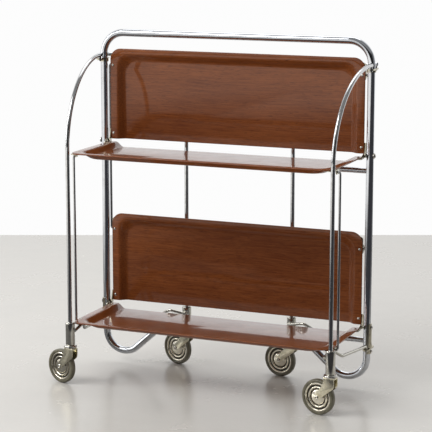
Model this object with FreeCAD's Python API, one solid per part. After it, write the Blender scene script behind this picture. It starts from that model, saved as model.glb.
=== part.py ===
"""Folding tea trolley: a bent-tube frame with a pair of hinged trays on each side.

Each pair of trays is carried by two gate legs on castors. The front pair is let
down on its opened legs. The back pair is folded up with its legs behind it.
Units are millimetres, +Z is up, and the front of the trolley faces -Y. The
origin is on the floor, midway between the two uprights.
"""
import FreeCAD, Part
import math
import os

from FreeCAD import Vector

# ---------------------------------------------------------------- main frame
FRAME_HEIGHT = 757.5
FRAME_WIDTH = 618.0  # between the centre lines of the uprights
FRAME_TUBE_R = 8.0
TUBE_WALL = 1.2
TOP_BEND_R = 48.0
FOOT_BEND_R = 44.0
FOOT_CLEARANCE = 21.0  # floor to the underside of the curled feet
FOOT_RISE_DEG = 42.0
CROSS_TUBE_R = 6.0
CROSS_TUBE_DROP = 32.0  # upper hinge line down to the upper cross tube
LOWER_CROSS_DROP = 29.0  # lower hinge line down to the lower cross tube

# ---------------------------------------------------------------- hinge lines
RAISED_TRAY_DROP = 43.5  # top of the frame down to the outer edge of a raised tray
LOWER_HINGE_Z = 141.0
PIN_R = 3.0
RUNNING_GAP = 0.05  # radial clearance of every turning joint
PIN_HEAD_R = 5.0
PIN_HEAD_H = 2.5
WASHER_R = 6.0
OVERRUN = 1.0  # how far a drill runs past the faces that it goes through
REACH = 20.0  # longer than any tube or plate is thick

# ---------------------------------------------------------------- trays
TRAY_END_GAP = 14.0  # upright centre line to the tray's end
TRAY_DEPTH = 204.0  # hinge line to the outer edge
TRAY_INNER_GAP = 3.0  # hinge line to the cut inner edge
TRAY_SHEET = 3.0
TRAY_BOWL = 11.5  # lip down to the floor
LIP_BELOW_HINGE = 1.5
END_LIP = 14.0
SIDE_LIP = 9.5
BOWL_WALL_RUN = 20.0
TRAY_CORNER_R = 25.0
BOWL_CORNER_R = 28.0
BOWL_STEPS = 6

# ---------------------------------------------------------------- tray brackets
BRACKET_SHEET = 2.0
HINGE_SHEET = 1.7
RIVET_IN_FROM_END = 6.2
HINGE_RIVET_AT = 16.0
CORNER_RIVET_IN = 37.0  # tray's outer edge back to the corner rivet
RIVET_SHANK_R = 1.8
RIVET_HEAD_R = 3.0
RIVET_HEAD_H = 1.0
RIVET_CROWN_R = 1.65
RIVET_TAIL_R = 2.8
BRACKET_INSET = 12.5  # width of the flanges under the lip
HINGE_FLANGE_PAST = 10.0  # hinge flange past its rivet
CORNER_FLANGE_BEFORE = 9.0  # corner flange before its rivet
EYE_TAB_HALF = 5.0  # corner bracket's web, either side of the link rod's eye
KNUCKLE_R = 5.0
CHEEK_DROP = 1.0  # lip down to the cheek's upper corner
NEAR_CHEEK_GAP = 0.4  # tray end to the hinge cheek that lies next to it
FAR_CHEEK_GAP = 2.7  # tray end to the cheek that lies outside the other tray's
LINK_IN = 36.0  # tray's outer edge back to the link rod's eye
LINK_DROP = 9.6  # hinge line to the link rod's eye, square to the tray
LINK_R = 2.75
LINK_OUT = 5.2  # tray end to the link rod's centre line
LINK_BEND_R = 4.6
LINK_END_PAST = 1.2  # how far the rod's ends pass through their eyes
WEB_GAP = 0.2  # tray end to the corner bracket's web
NOSE_GAP = 0.8  # corner bracket's nose to the opened gate's sleeve
NOSE_SHOULDER = 13.0  # tray's edge back to where the corner bracket steps in
NOSE_END = 8.0  # tray's edge back to the corner bracket's end

# ---------------------------------------------------------------- gate legs
GATE_PIVOT_OUT = 3.0  # upright centre line outward to the gate's pivot
GATE_PIVOT_FORWARD = 16.2
LEG_IN = 12.0  # upright centre line inward to an opened leg
LEG_BEHIND_EDGE = 1.0  # tray's outer edge back to the leg's centre line
LEG_TUBE_R = 4.5
LEG_TUBE_WALL = 1.0
GATE_TOP_DROP = 57.5  # top of the frame down to the gate's top
BEND_PAST_PIVOT = 2.6  # the leg's bend ends this far past its pivot
LEG_BOTTOM_Z = 121.0
LEG_END_OVERRUN = 4.6  # pivot to the leg's cut end
LEG_SHOULDER_R = 4.0  # collar under the leg's top that rides on the tongue
GATE_SWING_DEG = 80.5
SLEEVE_R = 10.0
SLEEVE_TOP_Z = 139.6
SLEEVE_BOTTOM_Z = 89.0
STAY_R = 3.4
STAY_OFFSET = 12.4  # leg centre line inboard to the stay's welded end
STAY_WELD = (4.0, 0.0, 122.5)  # past the leg, further inboard, height
STAY_HUMP = (-36.0, 3.0, 130.5)
STAY_DIP = (-70.0, -8.4, 110.0)
STAY_FOOT_Z = 102.5
STAY_BENDS = (12.0, 12.0, 5.0)
HEAD_TONGUE_DROP = 10.0  # gate's top down to the underside of its tongue
FOOT_TONGUE_Z = 93.5
TONGUE_T = 3.0
TONGUE_R = 7.0
HEAD_RING_H = 8.0
SHELL_PAST = 8.0  # foot shell above the hinge pin
SHELL_BELOW = 10.0  # foot shell below its tongue
FOOT_RIVET_DROP = 4.5  # tongue's underside down to the rivet
FOOT_RIVET_R = 2.5
FOOT_RIVET_HEAD_R = 4.0
SHELL_EDGE = 2.0  # upright's middle outward to the foot shell's edges
STUD_HEAD_R = 4.5
STUD_HEAD_H = 2.5
PLAY = 0.1  # end float of the turning joints

# ---------------------------------------------------------------- castors
WHEEL_R = 37.5
CASTOR_TRAIL = 27.5
CASTOR_HEADINGS = {"front_left": 162.0, "front_right": 168.0,
                   "rear_left": 162.5, "rear_right": 169.5}
TYRE_HALF_W = 6.2
TYRE_INNER_R = 30.5
TYRE_SHOULDER = 3.5
TYRE_BEAD = 1.2
TYRE_STEPS = 4
RIM_HALF_W = 5.0
RIM_LIP_R = 27.2
HUB_HALF_W = 6.4
HUB_R = 8.0
HUB_FLANK = 1.5
WEB_HALF_W = 2.8
DISH_R = 16.0
RING_HALF_W = 4.6
RING_INNER_R = 19.0
RING_OUTER_R = 23.4
RING_FLANK = 1.0
FORK_INNER = 6.7
FORK_SHEET = 1.8
FORK_BACK = 12.8  # swivel axis back to the fork's closed side
FORK_FRONT = 11.2  # swivel axis to the crown's trailing edge
FORK_BOSS_R = 6.2
FORK_BACK_Z = 62.0  # lower end of the arm's upright back edge
FORK_WAIST_Z = 65.0
FORK_FLARE = 3.0
FORK_SLANT_DEG = 30.0  # slope of the arm down to the axle
STEM_R = 5.5
STEM_TOP_Z = 117.0
COLLAR_R = 14.4
COLLAR_H = 6.0
COLLAR_EDGE = 2.4
SPIGOT_R = 4.0
CROWN_T = 3.0
SPIGOT_HEAD_R = 5.9
SPIGOT_HEAD_H = 2.5
AXLE_R = 3.0
AXLE_HEAD_R = 4.6
AXLE_HEAD_H = 1.6
AXLE_EDGE_R = 1.0
AXLE_EDGE_H = 0.6

# ---------------------------------------------------------------- derived places
HALF = FRAME_WIDTH / 2
TRAY_HALF = HALF - TRAY_END_GAP
UPPER_HINGE_Z = FRAME_HEIGHT - RAISED_TRAY_DROP - TRAY_DEPTH
CORNER_RIVET_AT = TRAY_DEPTH - CORNER_RIVET_IN
LINK_AT = TRAY_DEPTH - LINK_IN
LEG_TOP_Z = FRAME_HEIGHT - GATE_TOP_DROP
HEAD_TONGUE_Z = LEG_TOP_Z - HEAD_TONGUE_DROP
UPPER_CROSS_Z = UPPER_HINGE_Z - CROSS_TUBE_DROP
LOWER_CROSS_Z = LOWER_HINGE_Z - LOWER_CROSS_DROP
LIP_TOP = -LIP_BELOW_HINGE
LIP_UNDER = LIP_TOP - TRAY_SHEET
FLANGE_UNDER = LIP_UNDER - BRACKET_SHEET
HINGE_FLANGE_UNDER = LIP_UNDER - HINGE_SHEET
FOOT_BEND_Z = FOOT_CLEARANCE + FRAME_TUBE_R + FOOT_BEND_R
TOP_BEND_Z = FRAME_HEIGHT - FRAME_TUBE_R - TOP_BEND_R
FOOT_RIVET_Z = FOOT_TONGUE_Z - FOOT_RIVET_DROP
BRACKET_R = FRAME_TUBE_R + BRACKET_SHEET
WEB_X = HALF - TRAY_END_GAP + WEB_GAP
LINK_X = TRAY_HALF + LINK_OUT
RIVET_X = TRAY_HALF - RIVET_IN_FROM_END
COLLAR_BOTTOM_Z = SLEEVE_BOTTOM_Z - COLLAR_H
CROWN_TOP_Z = COLLAR_BOTTOM_Z - PLAY
PIVOT = Vector(HALF + GATE_PIVOT_OUT, -GATE_PIVOT_FORWARD, 0)
LEG = Vector(HALF - LEG_IN, LEG_BEHIND_EDGE - TRAY_DEPTH, 0)
ARM = (LEG - PIVOT).normalize()
INBOARD = Vector(ARM.y, -ARM.x, 0)
ARM_LENGTH = (LEG - PIVOT).Length
LEG_BEND_R = ARM_LENGTH + BEND_PAST_PIVOT

X_AXIS = Vector(1, 0, 0)
Z_AXIS = Vector(0, 0, 1)
ORIGIN = Vector(0, 0, 0)


# ---------------------------------------------------------------- shape helpers
def rod(start, end, radius):
    """Solid round bar between two points."""
    along = end - start
    return Part.makeCylinder(radius, along.Length, start, along)


def box(low, high):
    """Box between two opposite corners."""
    size = high - low
    return Part.makeBox(size.x, size.y, size.z, low)


def bent_path(corners, radii):
    """Path through the corners, with a round bend of its own radius at each inner one."""
    edges = []
    start = corners[0]
    for before, corner, after, radius in zip(corners, corners[1:], corners[2:], radii):
        back = (before - corner).normalize()
        onward = (after - corner).normalize()
        half_angle = back.getAngle(onward) / 2
        tangent = radius / math.tan(half_angle)
        bend_start = corner + back * tangent
        bend_end = corner + onward * tangent
        middle_way = (back + onward).normalize()
        bend_middle = corner + middle_way * (radius / math.sin(half_angle) - radius)
        if (bend_start - start).Length > 1e-6:
            edges.append(Part.makeLine(start, bend_start))
        edges.append(Part.Arc(bend_start, bend_middle, bend_end).toShape())
        start = bend_end
    edges.append(Part.makeLine(start, corners[-1]))
    return Part.Wire(edges)


def sweep(path, radius):
    """Solid round bar that follows a path."""
    first = path.Edges[0]
    start = first.valueAt(first.FirstParameter)
    heading = first.tangentAt(first.FirstParameter)
    section = Part.Wire([Part.makeCircle(radius, start, heading)])
    return path.makePipeShell([section], True, False)


def tube(path, radius, wall):
    """Hollow round tube that follows a path."""
    return sweep(path, radius).cut(sweep(path, radius - wall))


def turned(profile):
    """Solid of revolution about Z from (radius, height) points."""
    points = [Vector(r, 0, z) for r, z in profile]
    face = Part.Face(Part.makePolygon(points + points[:1]))
    return face.revolve(ORIGIN, Z_AXIS, 360)


def plate(points, axis, low, high):
    """Flat plate: an outline in the plane square to X or Z, given its two faces."""
    if axis == "X":
        corners = [Vector(low, -u, w) for u, w in points]
        thickness = Vector(high - low, 0, 0)
    else:
        corners = [Vector(x, -u, low) for x, u in points]
        thickness = Vector(0, 0, high - low)
    return Part.Face(Part.makePolygon(corners + corners[:1])).extrude(thickness)


def mirrored(shape):
    """Left-hand copy of a right-hand shape."""
    return shape.mirror(ORIGIN, X_AXIS)


def moved(shape, by):
    """Copy of a shape, shifted."""
    copy = shape.copy()
    copy.translate(by)
    return copy


def rotated(shape, about, axis, degrees):
    """Copy of a shape, turned about an axis."""
    copy = shape.copy()
    copy.rotate(about, axis, degrees)
    return copy


# ---------------------------------------------------------------- main frame
def frame_path():
    """Centre line of the frame tube, from one curled foot round to the other."""
    rise = math.radians(FOOT_RISE_DEG)
    sharp_z = FOOT_BEND_Z - FOOT_BEND_R * math.tan((math.pi / 2 + rise) / 2)
    end_x = HALF - (LOWER_CROSS_Z - sharp_z) / math.tan(rise)
    top_z = FRAME_HEIGHT - FRAME_TUBE_R
    corners = [Vector(-end_x, 0, LOWER_CROSS_Z), Vector(-HALF, 0, sharp_z), Vector(-HALF, 0, top_z),
               Vector(HALF, 0, top_z), Vector(HALF, 0, sharp_z), Vector(end_x, 0, LOWER_CROSS_Z)]
    return bent_path(corners, [FOOT_BEND_R, TOP_BEND_R, TOP_BEND_R, FOOT_BEND_R])


def across(x_from, x_to, y, z, radius):
    """Round bar along X."""
    return rod(Vector(x_from, y, z), Vector(x_to, y, z), radius)


def upright(radius):
    """Straight stretch of the right upright, as a solid bar."""
    return rod(Vector(HALF, 0, FOOT_BEND_Z), Vector(HALF, 0, TOP_BEND_Z), radius)


def frame_tube():
    """Bent tube with its pin holes, coped where its feet meet the lower cross tube."""
    body = tube(frame_path(), FRAME_TUBE_R, TUBE_WALL)
    body = body.cut(across(-HALF, HALF, 0, LOWER_CROSS_Z, CROSS_TUBE_R))
    for z, radius in ((UPPER_HINGE_Z, PIN_R), (LOWER_HINGE_Z, PIN_R), (FOOT_RIVET_Z, FOOT_RIVET_R)):
        for side in (-1, 1):
            body = body.cut(across(side * (HALF - REACH), side * (HALF + REACH), 0, z, radius))
    return max(body.Solids, key=lambda solid: solid.Volume)


def cross_tube(z):
    """Straight tube between the uprights, coped to their inner sides."""
    outer = across(-HALF, HALF, 0, z, CROSS_TUBE_R)
    bore = across(-HALF, HALF, 0, z, CROSS_TUBE_R - TUBE_WALL)
    right = upright(FRAME_TUBE_R)
    return outer.cut(bore).cut(right).cut(mirrored(right))


def frame_pin(z, inner_x, head_x, radius, head_r):
    """Pin through the right upright, with a domed head on the outside."""
    shank = across(inner_x, head_x, 0, z, radius)
    dome_r = (head_r ** 2 + PIN_HEAD_H ** 2) / (2 * PIN_HEAD_H)
    dome = Part.makeSphere(dome_r, Vector(head_x + PIN_HEAD_H - dome_r, 0, z))
    head = dome.common(across(head_x, head_x + PIN_HEAD_H + OVERRUN, 0, z, head_r))
    return shank.fuse(head)


def swing_plate(z):
    """Tongue round the right upright, with a pivot hole for each of its two gates."""
    ears = []
    for y in (-PIVOT.y, PIVOT.y):
        ears.append(rod(Vector(PIVOT.x, y, z), Vector(PIVOT.x, y, z + TONGUE_T), TONGUE_R))
    between = box(Vector(PIVOT.x - TONGUE_R, PIVOT.y, z), Vector(PIVOT.x + TONGUE_R, -PIVOT.y, z + TONGUE_T))
    body = between.fuse(ears)
    low = z - OVERRUN
    high = z + TONGUE_T + OVERRUN
    for y in (-PIVOT.y, PIVOT.y):
        body = body.cut(rod(Vector(PIVOT.x, y, low), Vector(PIVOT.x, y, high), PIN_R + RUNNING_GAP))
    return body


def head_bracket():
    """Clamp ring with its tongue, for the tops of the two right-hand gates."""
    high = HEAD_TONGUE_Z + TONGUE_T
    ring = rod(Vector(HALF, 0, high - HEAD_RING_H), Vector(HALF, 0, high), BRACKET_R)
    return ring.fuse(swing_plate(HEAD_TONGUE_Z)).cut(upright(FRAME_TUBE_R)).removeSplitter()


def foot_bracket():
    """Sheet shell wrapped on the upright's outer side, with the lower tongue."""
    low = FOOT_TONGUE_Z - SHELL_BELOW
    high = LOWER_HINGE_Z + SHELL_PAST
    shell = rod(Vector(HALF, 0, low), Vector(HALF, 0, high), BRACKET_R)
    outer_half = box(Vector(HALF + SHELL_EDGE, -REACH, low), Vector(HALF + REACH, REACH, high))
    body = shell.common(outer_half).fuse(swing_plate(FOOT_TONGUE_Z)).cut(upright(FRAME_TUBE_R))
    body = body.cut(across(HALF, HALF + REACH, 0, LOWER_HINGE_Z, PIN_R))
    body = body.cut(across(HALF, HALF + REACH, 0, FOOT_RIVET_Z, FOOT_RIVET_R))
    return body.removeSplitter()


# ---------------------------------------------------------------- trays
def u_outline(half_length, depth, corner_r, w):
    """Closed outline of a tray: straight along the hinge, round at the outer corners."""
    k = corner_r * (1 - math.sqrt(0.5))
    left, right = -half_length, half_length
    inner_y, outer_y = TRAY_DEPTH / 2, -depth
    p = [Vector(left, inner_y, w), Vector(left, outer_y + corner_r, w),
         Vector(left + corner_r, outer_y, w), Vector(right - corner_r, outer_y, w),
         Vector(right, outer_y + corner_r, w), Vector(right, inner_y, w)]
    edges = [Part.makeLine(p[0], p[1]), Part.Arc(p[1], Vector(left + k, outer_y + k, w), p[2]).toShape(),
             Part.makeLine(p[2], p[3]), Part.Arc(p[3], Vector(right - k, outer_y + k, w), p[4]).toShape(),
             Part.makeLine(p[4], p[5]), Part.makeLine(p[5], p[0])]
    return Part.Wire(edges)


def bowl(grow, lower):
    """The tray's hollow as a solid: an easy curve from the lip down to the floor."""
    wires = []
    for step in range(BOWL_STEPS + 1):
        t = step / BOWL_STEPS
        inset = BOWL_WALL_RUN * t - grow
        fall = TRAY_BOWL * (1 - math.cos(math.pi * t)) / 2
        half_length = TRAY_HALF - END_LIP - inset
        depth = TRAY_DEPTH - SIDE_LIP - inset
        wires.append(u_outline(half_length, depth, BOWL_CORNER_R, LIP_TOP - fall - lower))
    return Part.makeLoft(wires, True, True)


def rivet_hole(x, u):
    """Cutter for a rivet's hole, u from the hinge line."""
    return rod(Vector(x, -u, -REACH), Vector(x, -u, REACH), RIVET_SHANK_R)


def tray():
    """One moulded tray in its let-down place, with the hinge line through the origin."""
    lip = Part.Face(u_outline(TRAY_HALF, TRAY_DEPTH, TRAY_CORNER_R, LIP_UNDER))
    body = lip.extrude(Vector(0, 0, TRAY_SHEET)).fuse(bowl(TRAY_SHEET / 2, TRAY_SHEET)).cut(bowl(0, 0))
    span = TRAY_HALF + REACH
    inner_waste = box(Vector(-span, -TRAY_INNER_GAP, -REACH), Vector(span, TRAY_DEPTH, REACH))
    body = body.cut(inner_waste)
    for x in (-RIVET_X, RIVET_X):
        for u in (HINGE_RIVET_AT, CORNER_RIVET_AT):
            body = body.cut(rivet_hole(x, u))
    return max(body.removeSplitter().Solids, key=lambda solid: solid.Volume)


def hinge_bracket(cheek_gap):
    """Right-hand hinge bracket: a flange under the lip and a cheek with the pin's eye."""
    cheek_x = TRAY_HALF + cheek_gap
    cheek_end = cheek_x + BRACKET_SHEET
    last = HINGE_RIVET_AT + HINGE_FLANGE_PAST
    flange = box(Vector(TRAY_HALF - BRACKET_INSET, -last, HINGE_FLANGE_UNDER),
                 Vector(cheek_end, -KNUCKLE_R, LIP_UNDER))
    cheek = plate([(0, KNUCKLE_R), (last, LIP_TOP - CHEEK_DROP),
                   (last, HINGE_FLANGE_UNDER), (0, -KNUCKLE_R)], "X", cheek_x, cheek_end)
    body = flange.fuse([cheek, across(cheek_x, cheek_end, 0, 0, KNUCKLE_R)])
    body = body.cut(across(cheek_x - OVERRUN, cheek_end + OVERRUN, 0, 0, PIN_R + RUNNING_GAP))
    return body.cut(rivet_hole(RIVET_X, HINGE_RIVET_AT)).removeSplitter()


def corner_bracket():
    """Right-hand corner bracket: a flange that clears the gate's sleeve, and the link rod's eye."""
    inner_x = TRAY_HALF - BRACKET_INSET
    first = CORNER_RIVET_AT - CORNER_FLANGE_BEFORE
    outline = [(inner_x, first), (WEB_X, first), (WEB_X, TRAY_DEPTH - NOSE_SHOULDER),
               (LEG.x - SLEEVE_R - NOSE_GAP, TRAY_DEPTH - NOSE_END), (inner_x, TRAY_DEPTH - NOSE_END)]
    flange = plate(outline, "Z", FLANGE_UNDER, LIP_UNDER)
    tab_foot = -LINK_DROP - EYE_TAB_HALF
    web = plate([(first, FLANGE_UNDER), (LINK_AT + 2 * EYE_TAB_HALF, FLANGE_UNDER),
                 (LINK_AT + EYE_TAB_HALF, tab_foot), (LINK_AT - EYE_TAB_HALF, tab_foot)],
                "X", WEB_X - BRACKET_SHEET, WEB_X)
    eye = across(WEB_X - REACH, WEB_X + REACH, -LINK_AT, -LINK_DROP, LINK_R + RUNNING_GAP)
    body = flange.fuse(web).cut(eye)
    return body.cut(rivet_hole(RIVET_X, CORNER_RIVET_AT)).removeSplitter()


def rivet(x, u, flange_under):
    """Rivet through the lip and a bracket flange, domed on top."""
    head = Part.makeCone(RIVET_HEAD_R, RIVET_CROWN_R, RIVET_HEAD_H, Vector(x, -u, LIP_TOP))
    shank = rod(Vector(x, -u, LIP_TOP), Vector(x, -u, flange_under), RIVET_SHANK_R)
    tail = rod(Vector(x, -u, flange_under), Vector(x, -u, flange_under - RIVET_HEAD_H), RIVET_TAIL_R)
    return shank.fuse([head, tail])


def tray_parts():
    """The pieces that move as one with a tray, in its let-down place at the origin."""
    hinge_pair = [hinge_bracket(NEAR_CHEEK_GAP), mirrored(hinge_bracket(FAR_CHEEK_GAP))]
    corner = corner_bracket()
    rivets = []
    for x in (-RIVET_X, RIVET_X):
        rivets.append(rivet(x, HINGE_RIVET_AT, HINGE_FLANGE_UNDER))
        rivets.append(rivet(x, CORNER_RIVET_AT, FLANGE_UNDER))
    return {"tray": tray(), "hinge_brackets": Part.makeCompound(hinge_pair),
            "corner_brackets": Part.makeCompound([corner, mirrored(corner)]),
            "tray_rivets": Part.makeCompound(rivets)}


def link_rod(y, low_z):
    """Right-hand link rod between the two trays, with its ends turned in to the eyes."""
    high_z = low_z + UPPER_HINGE_Z - LOWER_HINGE_Z
    inner_x = WEB_X - BRACKET_SHEET - LINK_END_PAST
    corners = [Vector(inner_x, y, low_z), Vector(LINK_X, y, low_z),
               Vector(LINK_X, y, high_z), Vector(inner_x, y, high_z)]
    return sweep(bent_path(corners, [LINK_BEND_R] * 2), LINK_R)


# ---------------------------------------------------------------- gate legs
def on_gate(along, inboard, z):
    """Point on the opened front right gate, measured from its pivot axis."""
    return PIVOT + ARM * along + INBOARD * inboard + Z_AXIS * z


def pivot_stud(tongue_z, top_z):
    """Upright stud on the gate's pivot axis, headed under its tongue."""
    def level(z):
        return Vector(PIVOT.x, PIVOT.y, z)

    shank = rod(level(tongue_z - PLAY - STUD_HEAD_H), level(top_z), PIN_R)
    head = rod(level(tongue_z - PLAY - STUD_HEAD_H), level(tongue_z - PLAY), STUD_HEAD_R)
    return shank.fuse(head)


def leg_tube():
    """Leg that bends over in a quarter circle to its pivot at the top of the frame."""
    corners = [LEG + Z_AXIS * LEG_BOTTOM_Z, LEG + Z_AXIS * LEG_TOP_Z,
               on_gate(-LEG_END_OVERRUN, 0, LEG_TOP_Z)]
    body = tube(bent_path(corners, [LEG_BEND_R]), LEG_TUBE_R, LEG_TUBE_WALL)
    shoulder_z = HEAD_TONGUE_Z + TONGUE_T + PLAY
    shoulder = rod(PIVOT + Z_AXIS * shoulder_z, PIVOT + Z_AXIS * LEG_TOP_Z, LEG_SHOULDER_R)
    stud = pivot_stud(HEAD_TONGUE_Z, LEG_TOP_Z)
    return body.fuse([shoulder, stud]).removeSplitter()


def sleeve():
    """Socket at the leg's foot: the leg's seat above, the castor stem's bore below."""
    body = rod(LEG + Z_AXIS * SLEEVE_BOTTOM_Z, LEG + Z_AXIS * SLEEVE_TOP_Z, SLEEVE_R)
    seat = rod(LEG + Z_AXIS * LEG_BOTTOM_Z, LEG + Z_AXIS * (SLEEVE_TOP_Z + OVERRUN), LEG_TUBE_R)
    bore = rod(LEG + Z_AXIS * (SLEEVE_BOTTOM_Z - OVERRUN), LEG + Z_AXIS * STEM_TOP_Z, STEM_R)
    return body.cut(seat).cut(bore)


def leg_stay():
    """Bent rod from the sleeve back to the lower pivot, humped under the tray's lip."""
    near_leg = [on_gate(ARM_LENGTH + past, STAY_OFFSET + inboard, z)
                for past, inboard, z in (STAY_WELD, STAY_HUMP, STAY_DIP)]
    shoulder_z = FOOT_TONGUE_Z + TONGUE_T + PLAY
    path = bent_path(near_leg + [on_gate(0, 0, STAY_FOOT_Z), on_gate(0, 0, shoulder_z)], STAY_BENDS)
    stay = sweep(path, STAY_R).fuse(pivot_stud(FOOT_TONGUE_Z, shoulder_z + OVERRUN))
    stay = stay.cut(rod(LEG + Z_AXIS * SLEEVE_BOTTOM_Z, LEG + Z_AXIS * SLEEVE_TOP_Z, SLEEVE_R))
    return max(stay.removeSplitter().Solids, key=lambda solid: solid.Volume)


# ---------------------------------------------------------------- castors
def castor_stem():
    """Pressed-in stem with its collar, and the spigot that the fork turns on."""
    head_top = CROWN_TOP_Z - CROWN_T - PLAY
    head_foot = head_top - SPIGOT_HEAD_H
    collar_top = SLEEVE_BOTTOM_Z
    return turned([(0, STEM_TOP_Z), (STEM_R, STEM_TOP_Z), (STEM_R, collar_top),
                   (COLLAR_R - COLLAR_EDGE, collar_top), (COLLAR_R, collar_top - COLLAR_EDGE),
                   (COLLAR_R, COLLAR_BOTTOM_Z + COLLAR_EDGE), (COLLAR_R - COLLAR_EDGE, COLLAR_BOTTOM_Z),
                   (SPIGOT_R, COLLAR_BOTTOM_Z), (SPIGOT_R, head_top), (SPIGOT_HEAD_R, head_top),
                   (SPIGOT_HEAD_R - COLLAR_EDGE, head_foot), (0, head_foot)])


def castor_fork():
    """Folded sheet fork, trailing along +X, with an arm on each side of the wheel."""
    outer = FORK_INNER + FORK_SHEET
    body = box(Vector(-FORK_BACK, -outer, CROWN_TOP_Z - CROWN_T), Vector(FORK_FRONT, outer, CROWN_TOP_Z))
    slant = math.radians(FORK_SLANT_DEG)
    boss_x = FORK_BOSS_R * math.sin(slant)
    boss_z = FORK_BOSS_R * math.cos(slant)
    outline = [(-FORK_BACK, CROWN_TOP_Z), (FORK_FRONT, CROWN_TOP_Z), (FORK_FRONT + FORK_FLARE, FORK_WAIST_Z),
               (CASTOR_TRAIL - boss_x, WHEEL_R + boss_z), (CASTOR_TRAIL + boss_x, WHEEL_R - boss_z),
               (-FORK_BACK, FORK_BACK_Z)]
    for inner_y in (FORK_INNER, -outer):
        corners = [Vector(t, inner_y, z) for t, z in outline]
        arm = Part.Face(Part.makePolygon(corners + corners[:1])).extrude(Vector(0, FORK_SHEET, 0))
        boss = rod(Vector(CASTOR_TRAIL, inner_y, WHEEL_R),
                   Vector(CASTOR_TRAIL, inner_y + FORK_SHEET, WHEEL_R), FORK_BOSS_R)
        body = body.fuse([arm, boss])
    body = body.cut(rod(ORIGIN, Z_AXIS * (CROWN_TOP_Z + OVERRUN), SPIGOT_R + RUNNING_GAP))
    axle_hole = rod(Vector(CASTOR_TRAIL, -REACH, WHEEL_R), Vector(CASTOR_TRAIL, REACH, WHEEL_R), AXLE_R)
    return body.cut(axle_hole).removeSplitter()


def on_axle(shape):
    """Lay a wheel piece, turned about Z, onto the trailing axle."""
    laid = rotated(shape, ORIGIN, X_AXIS, 90)
    return moved(laid, Vector(CASTOR_TRAIL, 0, WHEEL_R))


def turned_alike(half):
    """Turned piece, the same on both sides of its middle, from its upper half's profile."""
    return on_axle(turned([(r, -z) for r, z in reversed(half)] + half))


def castor_axle():
    """Axle bolt with a domed head at each end."""
    side = FORK_INNER + FORK_SHEET
    half = [(AXLE_R, side), (AXLE_HEAD_R, side),
            (AXLE_HEAD_R - AXLE_EDGE_R, side + AXLE_HEAD_H - AXLE_EDGE_H), (0, side + AXLE_HEAD_H)]
    return turned_alike(half)


def castor_wheel():
    """Wheel centre: a hub, a dished web with a raised ring, and the rim."""
    return turned_alike([(AXLE_R + RUNNING_GAP, HUB_HALF_W), (HUB_R, HUB_HALF_W),
                         (HUB_R + HUB_FLANK, RING_HALF_W), (DISH_R, WEB_HALF_W),
                         (RING_INNER_R, WEB_HALF_W), (RING_INNER_R + RING_FLANK, RING_HALF_W),
                         (RING_OUTER_R - RING_FLANK, RING_HALF_W), (RING_OUTER_R, WEB_HALF_W),
                         (RIM_LIP_R - RING_FLANK, WEB_HALF_W), (RIM_LIP_R, RIM_HALF_W),
                         (TYRE_INNER_R, RIM_HALF_W)])


def castor_tyre():
    """Tyre with rounded shoulders, seated on the rim."""
    flat_r = WHEEL_R - TYRE_SHOULDER
    flat_w = TYRE_HALF_W - TYRE_SHOULDER
    half = [(TYRE_INNER_R, RIM_HALF_W), (TYRE_INNER_R + TYRE_BEAD, TYRE_HALF_W)]
    for step in range(TYRE_STEPS + 1):
        turn = math.pi / 2 * step / TYRE_STEPS
        half.append((flat_r + TYRE_SHOULDER * math.sin(turn), flat_w + TYRE_SHOULDER * math.cos(turn)))
    return turned_alike(half)


def castor_parts(heading):
    """One castor on the front right leg's axis, trailing towards its heading."""
    pieces = {"castor_stem": castor_stem(), "castor_fork": castor_fork(), "castor_axle": castor_axle(),
              "castor_wheel": castor_wheel(), "castor_tyre": castor_tyre()}
    return {name: moved(rotated(piece, ORIGIN, Z_AXIS, heading), LEG) for name, piece in pieces.items()}


# ---------------------------------------------------------------- assembly
def frame_nodes():
    """The fixed frame, its cross tubes, pins and brackets."""
    seat_x = HALF + FRAME_TUBE_R
    head_x = seat_x + BRACKET_SHEET
    pins = [frame_pin(z, TRAY_HALF, head_x, PIN_R, PIN_HEAD_R) for z in (UPPER_HINGE_Z, LOWER_HINGE_Z)]
    washer = across(seat_x, head_x, 0, UPPER_HINGE_Z, WASHER_R).cut(
        across(HALF, HALF + REACH, 0, UPPER_HINGE_Z, PIN_R))
    bracket_rivet = frame_pin(FOOT_RIVET_Z, seat_x - TUBE_WALL, head_x, FOOT_RIVET_R, FOOT_RIVET_HEAD_R)
    return {
        "frame_tube": frame_tube(),
        "upper_cross_tube": cross_tube(UPPER_CROSS_Z),
        "lower_cross_tube": cross_tube(LOWER_CROSS_Z),
        "tray_hinge_pins": Part.makeCompound(pins + [mirrored(pin) for pin in pins]),
        "hinge_pin_washers": Part.makeCompound([washer, mirrored(washer)]),
        "foot_bracket_rivets": Part.makeCompound([bracket_rivet, mirrored(bracket_rivet)]),
        "gate_head_brackets": Part.makeCompound([head_bracket(), mirrored(head_bracket())]),
        "gate_foot_brackets": Part.makeCompound([foot_bracket(), mirrored(foot_bracket())]),
    }


def tray_nodes():
    """Both pairs of trays: the front pair let down, the back pair folded up."""
    nodes = {}
    pieces = tray_parts()
    for level, hinge_z in (("upper", UPPER_HINGE_Z), ("lower", LOWER_HINGE_Z)):
        for name, piece in pieces.items():
            nodes[f"front_{level}_{name}"] = moved(piece, Vector(0, 0, hinge_z))
            turned_round = rotated(piece, ORIGIN, Z_AXIS, 180)
            folded = rotated(turned_round, ORIGIN, X_AXIS, 90)
            nodes[f"rear_{level}_{name}"] = moved(folded, Vector(0, 0, hinge_z))
    front = link_rod(-LINK_AT, LOWER_HINGE_Z - LINK_DROP)
    rear = link_rod(LINK_DROP, LOWER_HINGE_Z + LINK_AT)
    nodes["front_right_link_rod"] = front
    nodes["front_left_link_rod"] = mirrored(front)
    nodes["rear_right_link_rod"] = rear
    nodes["rear_left_link_rod"] = mirrored(rear)
    return nodes


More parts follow.
